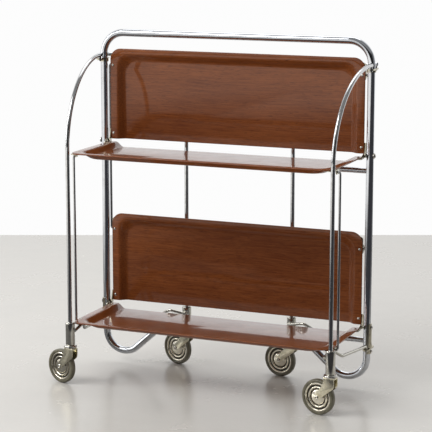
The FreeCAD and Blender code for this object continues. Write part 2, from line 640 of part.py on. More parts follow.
def gate_nodes():
    """The four gate legs with their castors: front ones open, back ones folded in."""
    nodes = {}
    leg = {"leg_tube": leg_tube(), "leg_sleeve": sleeve(), "leg_stay": leg_stay()}
    for corner, heading in CASTOR_HEADINGS.items():
        end, side = corner.split("_")
        folded = GATE_SWING_DEG if end == "rear" else 0.0
        turn = 180.0 if end == "rear" else 0.0
        flip = side == ("right" if end == "rear" else "left")
        heading_on_gate = 180 - (heading - turn - folded) if flip else heading - turn + folded
        pieces = dict(leg, **castor_parts(heading_on_gate))
        for name, piece in pieces.items():
            piece = rotated(piece, PIVOT, Z_AXIS, -folded)
            piece = mirrored(piece) if flip else piece
            nodes[f"{corner}_{name}"] = rotated(piece, ORIGIN, Z_AXIS, turn)
    return nodes


def main():
    """Build every node and write it to its STEP file."""
    os.makedirs("parts", exist_ok=True)
    nodes = {**frame_nodes(), **tray_nodes(), **gate_nodes()}
    for name, shape in nodes.items():
        shape.exportStep(f"parts/{name}.step")
        print(name, shape.ShapeType, len(shape.Solids), round(shape.Volume / 1000, 2), "cm3",
              "valid" if shape.isValid() else "INVALID")


main()
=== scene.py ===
"""Looks of a folding tea trolley: chromed tube frame, moulded wood trays and plated castors."""
import logging
import math
from dataclasses import dataclass, field
from enum import Enum

import bmesh
import bpy
from mathutils import Matrix, Vector


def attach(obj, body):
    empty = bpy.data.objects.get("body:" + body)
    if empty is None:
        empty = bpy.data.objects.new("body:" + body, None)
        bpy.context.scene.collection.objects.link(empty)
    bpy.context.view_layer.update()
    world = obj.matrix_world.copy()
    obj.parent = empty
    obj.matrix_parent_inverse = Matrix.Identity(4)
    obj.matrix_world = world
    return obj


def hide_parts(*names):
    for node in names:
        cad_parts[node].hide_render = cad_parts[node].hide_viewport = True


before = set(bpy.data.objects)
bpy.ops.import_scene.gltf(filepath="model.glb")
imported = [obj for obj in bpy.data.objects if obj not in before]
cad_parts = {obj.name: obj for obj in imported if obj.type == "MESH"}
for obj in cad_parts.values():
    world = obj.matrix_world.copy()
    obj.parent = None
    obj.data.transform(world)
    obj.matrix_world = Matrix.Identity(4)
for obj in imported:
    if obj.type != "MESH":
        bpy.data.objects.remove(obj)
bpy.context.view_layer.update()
LOG = logging.getLogger("trolley")
MM = 0.001
IMAGE_PX = 432
TAU = math.tau
AXIS_Z = Vector((0, 0, 1))
SHARP_DEG = 38.0  # an edge that turns by more than this is shaded sharp
MERGE_M = 1e-6  # corners nearer than this are made one
SAME_M = 1e-7  # places nearer than this are the same

Colour = tuple[float, float, float, float]
Outline = tuple[tuple[float, float], ...]
Value = bpy.types.NodeSocket | float | tuple[float, ...]
BLACK: Colour = (0.0, 0.0, 0.0, 1.0)
WHITE: Colour = (1.0, 1.0, 1.0, 1.0)


class End(Enum):
    """Which side of the main frame a piece is on."""
    FRONT = "front"
    REAR = "rear"


class Level(Enum):
    """Height of a tray."""
    UPPER = "upper"
    LOWER = "lower"


class Slot(Enum):
    """Material slots of the record."""
    CHROME_TUBE = "chrome_tube"
    CHROME_ROD = "chrome_rod"
    TRAY_LAMINATE = "tray_laminate"
    BRIGHT_RIVET = "bright_rivet"
    ZINC_SHEET = "zinc_sheet"
    ZINC_LEG = "zinc_leg"
    BRIGHT_STEM = "bright_stem"
    ZINC_FORK = "zinc_fork"
    WHEEL_CENTRE = "wheel_centre"
    TYRE_RUBBER = "tyre_rubber"


# ---- small helpers
def paint(red: int, green: int, blue: int) -> Colour:
    """Linear colour of a display colour.

    Args:
        red: Red from 0 to 255.
        green: Green from 0 to 255.
        blue: Blue from 0 to 255.

    Returns:
        The colour as Blender's sockets hold it.
    """
    def channel(value: int) -> float:
        """Linear value of one channel, by the standard display curve."""
        part = value / 255
        return part / 12.92 if part <= 0.04045 else ((part + 0.055) / 1.055) ** 2.4

    return (channel(red), channel(green), channel(blue), 1.0)


def turned(profile: list[tuple[float, float]], steps: int = 64) -> bmesh.types.BMesh:
    """Turned piece about Z.

    Args:
        profile: Corners of the half section as (radius, height) in millimetres.
        steps: Facets round the axis.

    Returns:
        A closed bmesh with its faces outward.
    """
    bm = bmesh.new()
    corners = [bm.verts.new((radius * MM, 0, height * MM)) for radius, height in profile]
    edges = [bm.edges.new(pair) for pair in zip(corners, corners[1:])]
    if profile[0] != profile[-1] and (profile[0][0] > 0 or profile[-1][0] > 0):
        edges.append(bm.edges.new((corners[-1], corners[0])))
    bmesh.ops.spin(bm, geom=corners + edges, cent=(0, 0, 0), axis=AXIS_Z, angle=TAU,
                   steps=steps, use_merge=True, use_duplicate=False)
    bmesh.ops.remove_doubles(bm, verts=bm.verts[:], dist=MERGE_M)
    bmesh.ops.dissolve_degenerate(bm, edges=bm.edges[:], dist=SAME_M)
    bmesh.ops.recalc_face_normals(bm, faces=bm.faces[:])
    return bm


def soften(bm: bmesh.types.BMesh, width: float, facets: int, angle_deg: float) -> None:
    """Round the sharp edges of a piece.

    Args:
        bm: The piece.
        width: Width of the rounding in millimetres.
        facets: Facets across the rounding.
        angle_deg: Edges that turn by more than this are rounded.
    """
    limit = math.radians(angle_deg)
    sharp = [e for e in bm.edges if len(e.link_faces) == 2 and e.calc_face_angle(0.0) > limit]
    bmesh.ops.bevel(bm, geom=sharp, offset=width * MM, offset_type="OFFSET", segments=facets,
                    profile=0.5, affect="EDGES", clamp_overlap=True, material=-1)


def round_corners(bm: bmesh.types.BMesh, corners: list[bmesh.types.BMVert], radius: float,
                  facets: int) -> list[bmesh.types.BMVert]:
    """Round corners of a flat outline.

    Args:
        bm: The bmesh that holds the outline.
        corners: The corners to round.
        radius: Their radius in millimetres.
        facets: Facets across each corner.

    Returns:
        The corners that take their place.
    """
    made = bmesh.ops.bevel(bm, geom=corners, offset=radius * MM, offset_type="OFFSET", segments=facets,
                           profile=0.5, affect="VERTICES", clamp_overlap=False, material=-1)
    return made["verts"]


def join(target: bmesh.types.BMesh, extra: bmesh.types.BMesh) -> None:
    """Add a bmesh, which is used up, to another."""
    mesh = bpy.data.meshes.new("joining")
    extra.to_mesh(mesh)
    extra.free()
    target.from_mesh(mesh)
    bpy.data.meshes.remove(mesh)


def mirrored(half: list[tuple[float, float]]) -> list[tuple[float, float]]:
    """Whole outline of a piece whose lower half mirrors its upper half."""
    return half + [(radius, -height) for radius, height in reversed(half)]


def add_object(name: str, data: bpy.types.ID) -> bpy.types.Object:
    """Put a mesh, camera or light in the scene as a new object."""
    made = bpy.data.objects.new(name, data)
    bpy.context.scene.collection.objects.link(made)
    return made


def add_mesh(name: str, bm: bmesh.types.BMesh, material: bpy.types.Material) -> bpy.types.Object:
    """Put a shape, which is used up, in the scene with its material."""
    mesh = bpy.data.meshes.new(name)
    bm.to_mesh(mesh)
    bm.free()
    mesh.materials.append(material)
    return add_object(name, mesh)


def finish_piece(name: str, bm: bmesh.types.BMesh, place: Matrix, material: bpy.types.Material,
                 body: str, nodes: tuple[str, ...]) -> None:
    """Put a finished mesh in the scene and tie it to its body.

    Args:
        name: Name of the piece.
        bm: Its shape, which is used up.
        place: Where it goes, written into the mesh.
        material: Its finish.
        body: The body that it rides on.
        nodes: The nodes that it stands for.
    """
    bm.transform(place)
    if place.determinant() < 0:
        bmesh.ops.reverse_faces(bm, faces=bm.faces[:])
    limit = math.radians(SHARP_DEG)
    for edge in bm.edges:
        edge.smooth = edge.calc_face_angle(0.0) < limit
    for face in bm.faces:
        face.smooth = True
    piece = add_mesh(name, bm, material)
    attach(piece, body)
    if nodes:
        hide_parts(*nodes)


def dress(node: str, material: bpy.types.Material) -> None:
    """Give a carried-over node its finish.

    Args:
        node: Name of the node.
        material: Its finish.
    """
    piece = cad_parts[node]
    piece.data.materials.clear()
    piece.data.materials.append(material)
    for face in piece.data.polygons:
        face.material_index = 0


# ---- shader building
@dataclass(frozen=True)
class Ramp:
    """A range of values, and what its two ends are mapped to."""
    low: float
    high: float
    to_low: float = 0.0
    to_high: float = 1.0


@dataclass(frozen=True)
class Noise:
    """Fractal noise: cells per metre, octaves, strength of the finer ones and stretch of the axes."""
    scale: Value
    detail: float = 4.0
    rough: float = 0.55
    stretch: tuple[float, float, float] | None = None


class Graph:
    """Short way to add and wire the nodes of one node tree."""

    def __init__(self, tree: bpy.types.NodeTree) -> None:
        """Work on a node tree."""
        self.tree = tree

    def add(self, kind: str, **settings: object) -> bpy.types.Node:
        """Add a node and set its properties.

        Args:
            kind: The node's type.
            settings: Properties of the node.

        Returns:
            The new node.
        """
        node = self.tree.nodes.new(kind)
        for name, value in settings.items():
            setattr(node, name, value)
        return node

    def wire(self, source: bpy.types.NodeSocket, target: bpy.types.NodeSocket) -> None:
        """Join two sockets."""
        self.tree.links.new(source, target)

    def feed(self, node: bpy.types.Node, key: str | int, value: Value) -> None:
        """Wire a socket into an input, or set the input's plain value.

        Args:
            node: The node whose input is fed.
            key: Name or number of the input.
            value: A socket, a number or a tuple.
        """
        if isinstance(value, bpy.types.NodeSocket):
            self.wire(value, node.inputs[key])
        else:
            node.inputs[key].default_value = value

    def fed(self, kind: str, values: dict[str | int, Value], **settings: object) -> bpy.types.Node:
        """Add a node and feed its inputs.

        Args:
            kind: The node's type.
            values: A value for each input, by name or number.
            settings: Properties of the node.

        Returns:
            The new node.
        """
        node = self.add(kind, **settings)
        for key, value in values.items():
            self.feed(node, key, value)
        return node

    def maths(self, operation: str, first: Value, second: Value = 0.0) -> bpy.types.NodeSocket:
        """Arithmetic on two values, by the Math node's operation."""
        return self.fed("ShaderNodeMath", {0: first, 1: second}, operation=operation).outputs[0]

    def most(self, *values: Value) -> bpy.types.NodeSocket:
        """Largest of several values."""
        result = values[0]
        for value in values[1:]:
            result = self.maths("MAXIMUM", result, value)
        return result

    def weighted(self, first: Value, second: Value, share: float) -> bpy.types.NodeSocket:
        """Sum of two values, the first by its share and the second by the rest."""
        return self.maths("ADD", self.maths("MULTIPLY", first, share),
                          self.maths("MULTIPLY", second, 1 - share))

    def blend(self, amount: Value, first: Value, second: Value) -> bpy.types.NodeSocket:
        """Mix two colours, with as much of the second as the amount from 0 to 1 says."""
        return self.fed("ShaderNodeMix", {0: amount, 6: first, 7: second}, data_type="RGBA").outputs[2]

    def either(self, amount: Value, first: Value, second: Value) -> bpy.types.NodeSocket:
        """Mix two shaders, with as much of the second as the amount from 0 to 1 says."""
        return self.fed("ShaderNodeMixShader", {0: amount, 1: first, 2: second}).outputs[0]

    def ramp(self, value: Value, ramp: Ramp) -> bpy.types.NodeSocket:
        """Map a value by a ramp, held at its ends.

        Args:
            value: The value to map.
            ramp: The range, and what it is mapped to.

        Returns:
            The mapped value.
        """
        steps = (value, ramp.low, ramp.high, ramp.to_low, ramp.to_high)
        return self.fed("ShaderNodeMapRange", dict(enumerate(steps)), clamp=True).outputs[0]

    def noise(self, place: Value, noise: Noise) -> bpy.types.Node:
        """Fractal noise at a place.

        Args:
            place: Coordinates.
            noise: What the noise is like.

        Returns:
            The noise node, with its value in output 0 and its colour in output 1.
        """
        if noise.stretch:
            place = self.fed("ShaderNodeMapping", {"Vector": place, "Scale": noise.stretch}).outputs[0]
        return self.fed("ShaderNodeTexNoise", {"Vector": place, "Scale": noise.scale, "Detail": noise.detail,
                                               "Roughness": noise.rough})

    def cloud(self, place: Value, noise: Noise) -> bpy.types.NodeSocket:
        """Value of a fractal noise at a place."""
        return self.noise(place, noise).outputs[0]

    def axes(self, place: Value, turn: float) -> bpy.types.NodeOutputs:
        """Coordinates in a room that is turned about Z.

        Args:
            place: Coordinates.
            turn: The room's turn in radians.

        Returns:
            The three turned coordinates.
        """
        room = self.fed("ShaderNodeMapping", {"Vector": place, "Rotation": (0.0, 0.0, turn)},
                        vector_type="TEXTURE")
        return self.fed("ShaderNodeSeparateXYZ", {0: room.outputs[0]}).outputs


def new_group(name: str, colours: tuple[str, ...], numbers: tuple[str, ...]
              ) -> tuple[Graph, bpy.types.NodeOutputs, bpy.types.NodeInputs]:
    """Start a shader node group that takes a place and gives a colour, a roughness and a height.

    Args:
        name: Name of the group.
        colours: Names of the colours that it takes.
        numbers: Names of the numbers that it takes.

    Returns:
        The group's graph, its inner inputs and its inner outputs, by name.
    """
    tree = bpy.data.node_groups.new(name, "ShaderNodeTree")
    inputs = {"place": "Vector", **dict.fromkeys(colours, "Color"), **dict.fromkeys(numbers, "Float")}
    outputs = {"Colour": "Color", "Roughness": "Float", "Height": "Float"}
    for way, sockets in (("INPUT", inputs), ("OUTPUT", outputs)):
        for label, kind in sockets.items():
            tree.interface.new_socket(label, in_out=way, socket_type=f"NodeSocket{kind}")
    graph = Graph(tree)
    source = graph.add("NodeGroupInput")
    target = graph.add("NodeGroupOutput")
    return graph, source.outputs, target.inputs


@dataclass(frozen=True)
class Wear:
    """Handling marks: blotches, hair scratches and specks on metal."""
    blotch_detail: float = 5.0
    blotch_rough: float = 0.6
    patch: Ramp = Ramp(0.45, 0.72)
    scratch: Noise = Noise(140.0, 2.0, stretch=(9.0, 9.0, 0.8))
    hair: Ramp = Ramp(0.62, 0.70)
    fleck: Noise = Noise(700.0, 2.0)
    speck: Ramp = Ramp(0.72, 0.80, 0.0, 0.5)

    def build(self) -> bpy.types.NodeTree:
        """Build the node group."""
        graph, given, made = new_group("handling_marks", ("clean", "stain"),
                                       ("amount", "gloss", "dull", "blotch"))
        blotch = graph.cloud(given["place"],
                             Noise(given["blotch"], self.blotch_detail, self.blotch_rough))
        patch = graph.ramp(blotch, self.patch)
        hair = graph.ramp(graph.cloud(given["place"], self.scratch), self.hair)
        speck = graph.ramp(graph.cloud(given["place"], self.fleck), self.speck)
        soiled = graph.maths("MULTIPLY", graph.most(patch, speck), given["amount"])
        graph.wire(graph.blend(soiled, given["clean"], given["stain"]), made["Colour"])
        dulled = graph.maths("MULTIPLY", graph.most(patch, hair), given["dull"])
        graph.wire(graph.maths("ADD", given["gloss"], dulled), made["Roughness"])
        graph.wire(blotch, made["Height"])
        return graph.tree


@dataclass(frozen=True)
class Grain:
    """Veneer printed under lacquer: long streaks, short pores and slow clouds of tone."""
    warp: Noise = Noise(5.0, 2.0, 0.5, stretch=(1.0, 3.0, 3.0))
    sway: tuple[float, float, float] = (0.0, 0.014, 0.014)
    streak: Noise = Noise(420.0, 4.0, 0.6, stretch=(0.035, 1.0, 1.0))
    cloud: Noise = Noise(16.0, 3.0, 0.6, stretch=(0.30, 1.0, 1.0))
    fleck: Noise = Noise(900.0, 2.0, 0.5, stretch=(0.075, 1.0, 1.0))
    pore: Ramp = Ramp(0.56, 0.68)
    streak_share: float = 0.62
    tone: Ramp = Ramp(0.32, 0.68)
    smear: Noise = Noise(26.0)
    haze: Ramp = Ramp(0.4, 0.7, 0.0, 0.07)
    pore_sink: float = 0.6

    def build(self) -> bpy.types.NodeTree:
        """Build the node group."""
        graph, given, made = new_group("veneer_grain", ("light", "dark", "pore"), ("pore_depth", "gloss"))
        warp = graph.noise(given["place"], self.warp).outputs["Color"]
        place = graph.fed("ShaderNodeVectorMath", {0: warp, 1: self.sway, 2: given["place"]},
                          operation="MULTIPLY_ADD").outputs[0]
        streak = graph.cloud(place, self.streak)
        tone = graph.weighted(streak, graph.cloud(place, self.cloud), self.streak_share)
        pore = graph.ramp(graph.cloud(place, self.fleck), self.pore)
        base = graph.blend(graph.ramp(tone, self.tone), given["dark"], given["light"])
        sunk = graph.maths("MULTIPLY", pore, given["pore_depth"])
        graph.wire(graph.blend(sunk, base, given["pore"]), made["Colour"])
        haze = graph.ramp(graph.cloud(given["place"], self.smear), self.haze)
        graph.wire(graph.maths("ADD", given["gloss"], haze), made["Roughness"])
        graph.wire(graph.maths("SUBTRACT", streak, graph.maths("MULTIPLY", pore, self.pore_sink)),
                   made["Height"])
        return graph.tree


@dataclass(frozen=True)
class Skin:
    """Moulded or cast skin: fine pimples with slow clouds of dust."""
    fine_detail: float = 3.0
    fine_rough: float = 0.6
    slow: Noise = Noise(70.0, 4.0, 0.6)
    dusty: Ramp = Ramp(0.38, 0.68)
    dust_roughness: float = 0.25

    def build(self) -> bpy.types.NodeTree:
        """Build the node group."""
        graph, given, made = new_group("moulded_skin", ("tone", "dust"), ("dusting", "gloss", "grain"))
        fine = graph.cloud(given["place"], Noise(given["grain"], self.fine_detail, self.fine_rough))
        slow = graph.ramp(graph.cloud(given["place"], self.slow), self.dusty)
        dusty = graph.maths("MULTIPLY", slow, given["dusting"])
        graph.wire(graph.blend(dusty, given["tone"], given["dust"]), made["Colour"])
        rough = graph.maths("MULTIPLY", dusty, self.dust_roughness)
        graph.wire(graph.maths("ADD", given["gloss"], rough), made["Roughness"])
        graph.wire(fine, made["Height"])
        return graph.tree


class Effects:
    """The shared node groups, each built once."""

    def __init__(self) -> None:
        """Build the groups."""
        self.wear = Wear().build()
        self.grain = Grain().build()
        self.skin = Skin().build()


# ---- finishes
@dataclass(frozen=True)
class Finish:
    """Common part of a finish: a Principled surface fed by one effect group."""
    name: str
    metallic: float = 0.0
    coat: float = 0.0
    coat_roughness: float = 0.1
    specular: float = 0.5
    bump: float = 0.1
    bump_depth: float = 0.0002

    def surface(self, tree: bpy.types.NodeTree) -> bpy.types.Material:
        """Make the material. Each input of the effect takes the field of the same name.

        Args:
            tree: The effect group.

        Returns:
            The material.
        """
        material = bpy.data.materials.new(self.name)
        material.use_nodes = True
        graph = Graph(material.node_tree)
        shader = material.node_tree.nodes["Principled BSDF"]
        where = graph.add("ShaderNodeTexCoord").outputs["Object"]
        effect = graph.add("ShaderNodeGroup", node_tree=tree)
        for socket in effect.inputs:
            graph.feed(effect, socket.name, where if socket.name == "place" else getattr(self, socket.name))
        bump = graph.fed("ShaderNodeBump", {"Strength": self.bump, "Distance": self.bump_depth,
                                            "Height": effect.outputs["Height"]})
        for label, value in {
                "Base Color": effect.outputs["Colour"], "Roughness": effect.outputs["Roughness"],
                "Normal": bump.outputs["Normal"], "Metallic": self.metallic, "Coat Weight": self.coat,
                "Coat Roughness": self.coat_roughness, "Specular IOR Level": self.specular}.items():
            graph.feed(shader, label, value)
        return material


@dataclass(frozen=True, kw_only=True)
class Plating(Finish):
    """Plated or bare metal with handling marks."""
    metallic: float = 1.0
    clean: Colour
    stain: Colour
    amount: float
    gloss: float
    dull: float
    blotch: float = 60.0

    def make(self, effects: Effects) -> bpy.types.Material:
        """Make the material from the shared effects."""
        return self.surface(effects.wear)


@dataclass(frozen=True, kw_only=True)
class Veneer(Finish):
    """Wood veneer under lacquer."""
    light: Colour
    dark: Colour
    pore: Colour
    pore_depth: float
    gloss: float

    def make(self, effects: Effects) -> bpy.types.Material:
        """Make the material from the shared effects."""
        return self.surface(effects.grain)


@dataclass(frozen=True, kw_only=True)
class Moulding(Finish):
    """Moulded rubber or plastic with a little dust, or the painted shade in a groove."""
    tone: Colour
    dust: Colour
    dusting: float
    gloss: float
    grain: float = 500.0

    def make(self, effects: Effects) -> bpy.types.Material:
        """Make the material from the shared effects."""
        return self.surface(effects.skin)


class Finishes:
    """Every finish of the trolley, made once and shared."""

    def __init__(self) -> None:
        """Make the materials."""
        effects = Effects()
        self.tube = Plating(
            "chromed_tube", clean=paint(208, 211, 216), stain=paint(124, 116, 104), amount=0.22,
            gloss=0.05, dull=0.07, bump=0.02).make(effects)
        self.rod = Plating(
            "chromed_rod", clean=paint(206, 207, 208), stain=paint(112, 100, 82), amount=0.30,
            gloss=0.10, dull=0.10, bump=0.03, blotch=110.0).make(effects)
        self.leg = Plating(
            "polished_zinc_leg", clean=paint(204, 202, 194), stain=paint(104, 90, 64), amount=0.25,
            gloss=0.06, dull=0.06, bump=0.02, blotch=130.0).make(effects)
        self.sheet = Plating(
            "zinc_bracket_sheet", clean=paint(190, 184, 164), stain=paint(96, 74, 42), amount=0.5,
            gloss=0.14, dull=0.14, bump=0.04, blotch=170.0).make(effects)
        self.fork = Plating(
            "passivated_fork_sheet", clean=paint(236, 230, 206), stain=paint(160, 142, 98), amount=0.4,
            gloss=0.16, dull=0.10, bump=0.03, blotch=150.0).make(effects)
        self.stem = Plating(
            "bright_stem_steel", clean=paint(214, 212, 206), stain=paint(120, 105, 78), amount=0.2,
            gloss=0.06, dull=0.05, bump=0.02, blotch=150.0).make(effects)
        self.rivet = Plating(
            "bright_rivet_steel", clean=paint(206, 203, 196), stain=paint(120, 106, 80), amount=0.45,
            gloss=0.14, dull=0.15, bump=0.05, blotch=300.0).make(effects)
        self.centre = Plating(
            "pressed_wheel_disc", clean=paint(238, 232, 216), stain=paint(150, 138, 108), amount=0.30,
            gloss=0.09, dull=0.08, bump=0.02, blotch=140.0).make(effects)
        # painted shade: dark rings that stand for the shade in the grooves of each wheel centre
        self.groove_shade = Moulding(
            "painted_groove_shade", tone=paint(38, 34, 24), dust=paint(74, 68, 50), dusting=0.4, gloss=0.5,
            bump=0.05).make(effects)
        self.veneer = Veneer(
            "lacquered_veneer", coat=0.7, coat_roughness=0.05, specular=0.15, bump=0.02,
            bump_depth=0.0001, light=paint(148, 84, 42), dark=paint(106, 51, 18), pore=paint(60, 24, 6),
            pore_depth=0.5, gloss=0.30).make(effects)
        self.tyre = Moulding(
            "grey_tyre_rubber", tone=paint(96, 92, 76), dust=paint(146, 140, 118), dusting=0.45,
            gloss=0.26, bump=0.10, grain=700.0).make(effects)


# ---- trays
HINGE_Z = {Level.UPPER: 510.0, Level.LOWER: 141.0}  # height of the hinge axes in millimetres


@dataclass
class Tray:
    """One moulded tray with its brackets and rivets. Sizes in millimetres."""
    finishes: Finishes
    end: End
    level: Level
    half_length: float = 295.0
    depth: float = 204.0
    cut_edge: float = 3.0
    sheet: float = 3.0
    bowl: float = 11.5
    lip_top: float = -1.5
    end_lip: float = 14.0
    side_lip: float = 9.5
    wall_run: float = 20.0
    outer_corner: float = 25.0
    bowl_corner: float = 28.0
    corner_facets: int = 12
    wall_facets: int = 14
    lip_round: float = 1.2
    lip_facets: int = 3
    lip_angle_deg: float = 50.0
    rivet_x: float = 288.8
    rivet_at: tuple[float, float] = (16.0, 167.0)  # from the hinge axis
    flange: tuple[float, float] = (1.7, 2.0)  # sheet of the bracket under each rivet
    rivet_head: float = 3.0
    rivet_rise: float = 1.0
    rivet_shank: float = 1.8
    rivet_sunk: float = 0.1
    rivet_tail: float = 2.8
    rivet_tail_rise: float = 1.0
    rivet_facets: int = 20
    dome: Outline = ((0.0, 1.0), (0.55, 0.86), (0.88, 0.5), (1.0, 0.0))  # shares of radius and rise
    clench: Outline = ((1.0, 1.0), (0.85, 0.35), (0.0, 0.0))  # shares of the tail's radius and rise

    @property
    def name(self) -> str:
        """Start of the names of this tray's nodes."""
        return f"{self.end.value}_{self.level.value}"

    @property
    def body(self) -> str:
        """Body that the tray and its brackets ride on."""
        return f"{self.name}_leaf"

    def place(self) -> Matrix:
        """Matrix from the let-down tray on the origin to its place, in metres."""
        lift = Matrix.Translation((0, 0, HINGE_Z[self.level] * MM))
        if self.end is End.FRONT:
            return lift
        return lift @ Matrix.Rotation(math.pi / 2, 4, "X") @ Matrix.Rotation(math.pi, 4, "Z")

    def ring(self, bm: bmesh.types.BMesh, inset_x: float, inset_y: float, corner: float,
             z: float) -> list[bmesh.types.BMEdge]:
        """Rounded rectangle of edges, round the tray and its mirror image beyond the cut edge.

        Args:
            bm: Where the ring is made.
            inset_x: How far in from the ends.
            inset_y: How far in from the long edges.
            corner: Radius of its corners.
            z: Its height.

        Returns:
            The ring's edges.
        """
        size = Matrix.Diagonal(((self.half_length - inset_x) * MM, (self.depth - inset_y) * MM, 1, 1))
        made = bmesh.ops.create_grid(bm, x_segments=1, y_segments=1, size=1.0,
                                     matrix=Matrix.Translation((0, 0, z * MM)) @ size)
        rounded = round_corners(bm, made["verts"], corner, self.corner_facets)
        face = next(f for f in bm.faces if abs(f.calc_center_median().z - z * MM) < SAME_M
                    and f.verts[0] in rounded)
        edges = list(face.edges)
        bmesh.ops.delete(bm, geom=[face], context="FACES_KEEP_BOUNDARY")
        return edges

    def shell(self) -> bmesh.types.BMesh:
        """The tray's curved sheet with its rounded lip, let down on the origin."""
        bm = bmesh.new()
        rings = [self.ring(bm, 0, 0, self.outer_corner, self.lip_top)]
        for step in range(self.wall_facets + 1):
            share = step / self.wall_facets
            inset = self.wall_run * share
            fall = self.bowl * (1 - math.cos(math.pi * share)) / 2
            rings.append(self.ring(bm, self.end_lip + inset, self.side_lip + inset, self.bowl_corner,
                                   self.lip_top - fall))
        for outer, inner in zip(rings, rings[1:]):
            bmesh.ops.bridge_loops(bm, edges=outer + inner)
        bmesh.ops.contextual_create(bm, geom=rings[-1])
        bmesh.ops.bisect_plane(bm, geom=bm.verts[:] + bm.edges[:] + bm.faces[:], dist=SAME_M,
                               plane_co=(0, -self.cut_edge * MM, 0), plane_no=(0, 1, 0), clear_outer=True)
        bmesh.ops.recalc_face_normals(bm, faces=bm.faces[:])
        if sum(face.normal.z for face in bm.faces) < 0:
            bmesh.ops.reverse_faces(bm, faces=bm.faces[:])
        bmesh.ops.solidify(bm, geom=bm.faces[:], thickness=self.sheet * MM)
        bmesh.ops.recalc_face_normals(bm, faces=bm.faces[:])
        soften(bm, self.lip_round, self.lip_facets, self.lip_angle_deg)
        return bm

    def rivets(self) -> bmesh.types.BMesh:
        """The four rivets, each domed on top and below, for the let-down tray."""
        both = bmesh.new()
        for at, flange in zip(self.rivet_at, self.flange):
            for x in (-self.rivet_x, self.rivet_x):
                under = -self.sheet - flange - self.rivet_tail_rise
                head = [(self.rivet_head * out, self.rivet_rise * up) for out, up in self.dome]
                shank = [(self.rivet_shank, -self.rivet_sunk),
                         (self.rivet_shank, under + self.rivet_tail_rise)]
                tail = [(self.rivet_tail * out, under + self.rivet_tail_rise * up)
                        for out, up in self.clench]
                one = turned(head + shank + tail, self.rivet_facets)
                one.transform(Matrix.Translation(Vector((x, -at, self.lip_top)) * MM))
                join(both, one)
        return both

    def build(self) -> None:
        """Build the tray, dress its brackets and report."""
        place = self.place()
        finish_piece(f"{self.name}_tray_shell", self.shell(), place, self.finishes.veneer, self.body,
                     (f"{self.name}_tray",))
        finish_piece(f"{self.name}_rivet_heads", self.rivets(), place, self.finishes.rivet, self.body,
                     (f"{self.name}_tray_rivets",))
        for part in ("hinge_brackets", "corner_brackets"):
            dress(f"{self.name}_{part}", self.finishes.sheet)
        LOG.info("tray %s built", self.name)


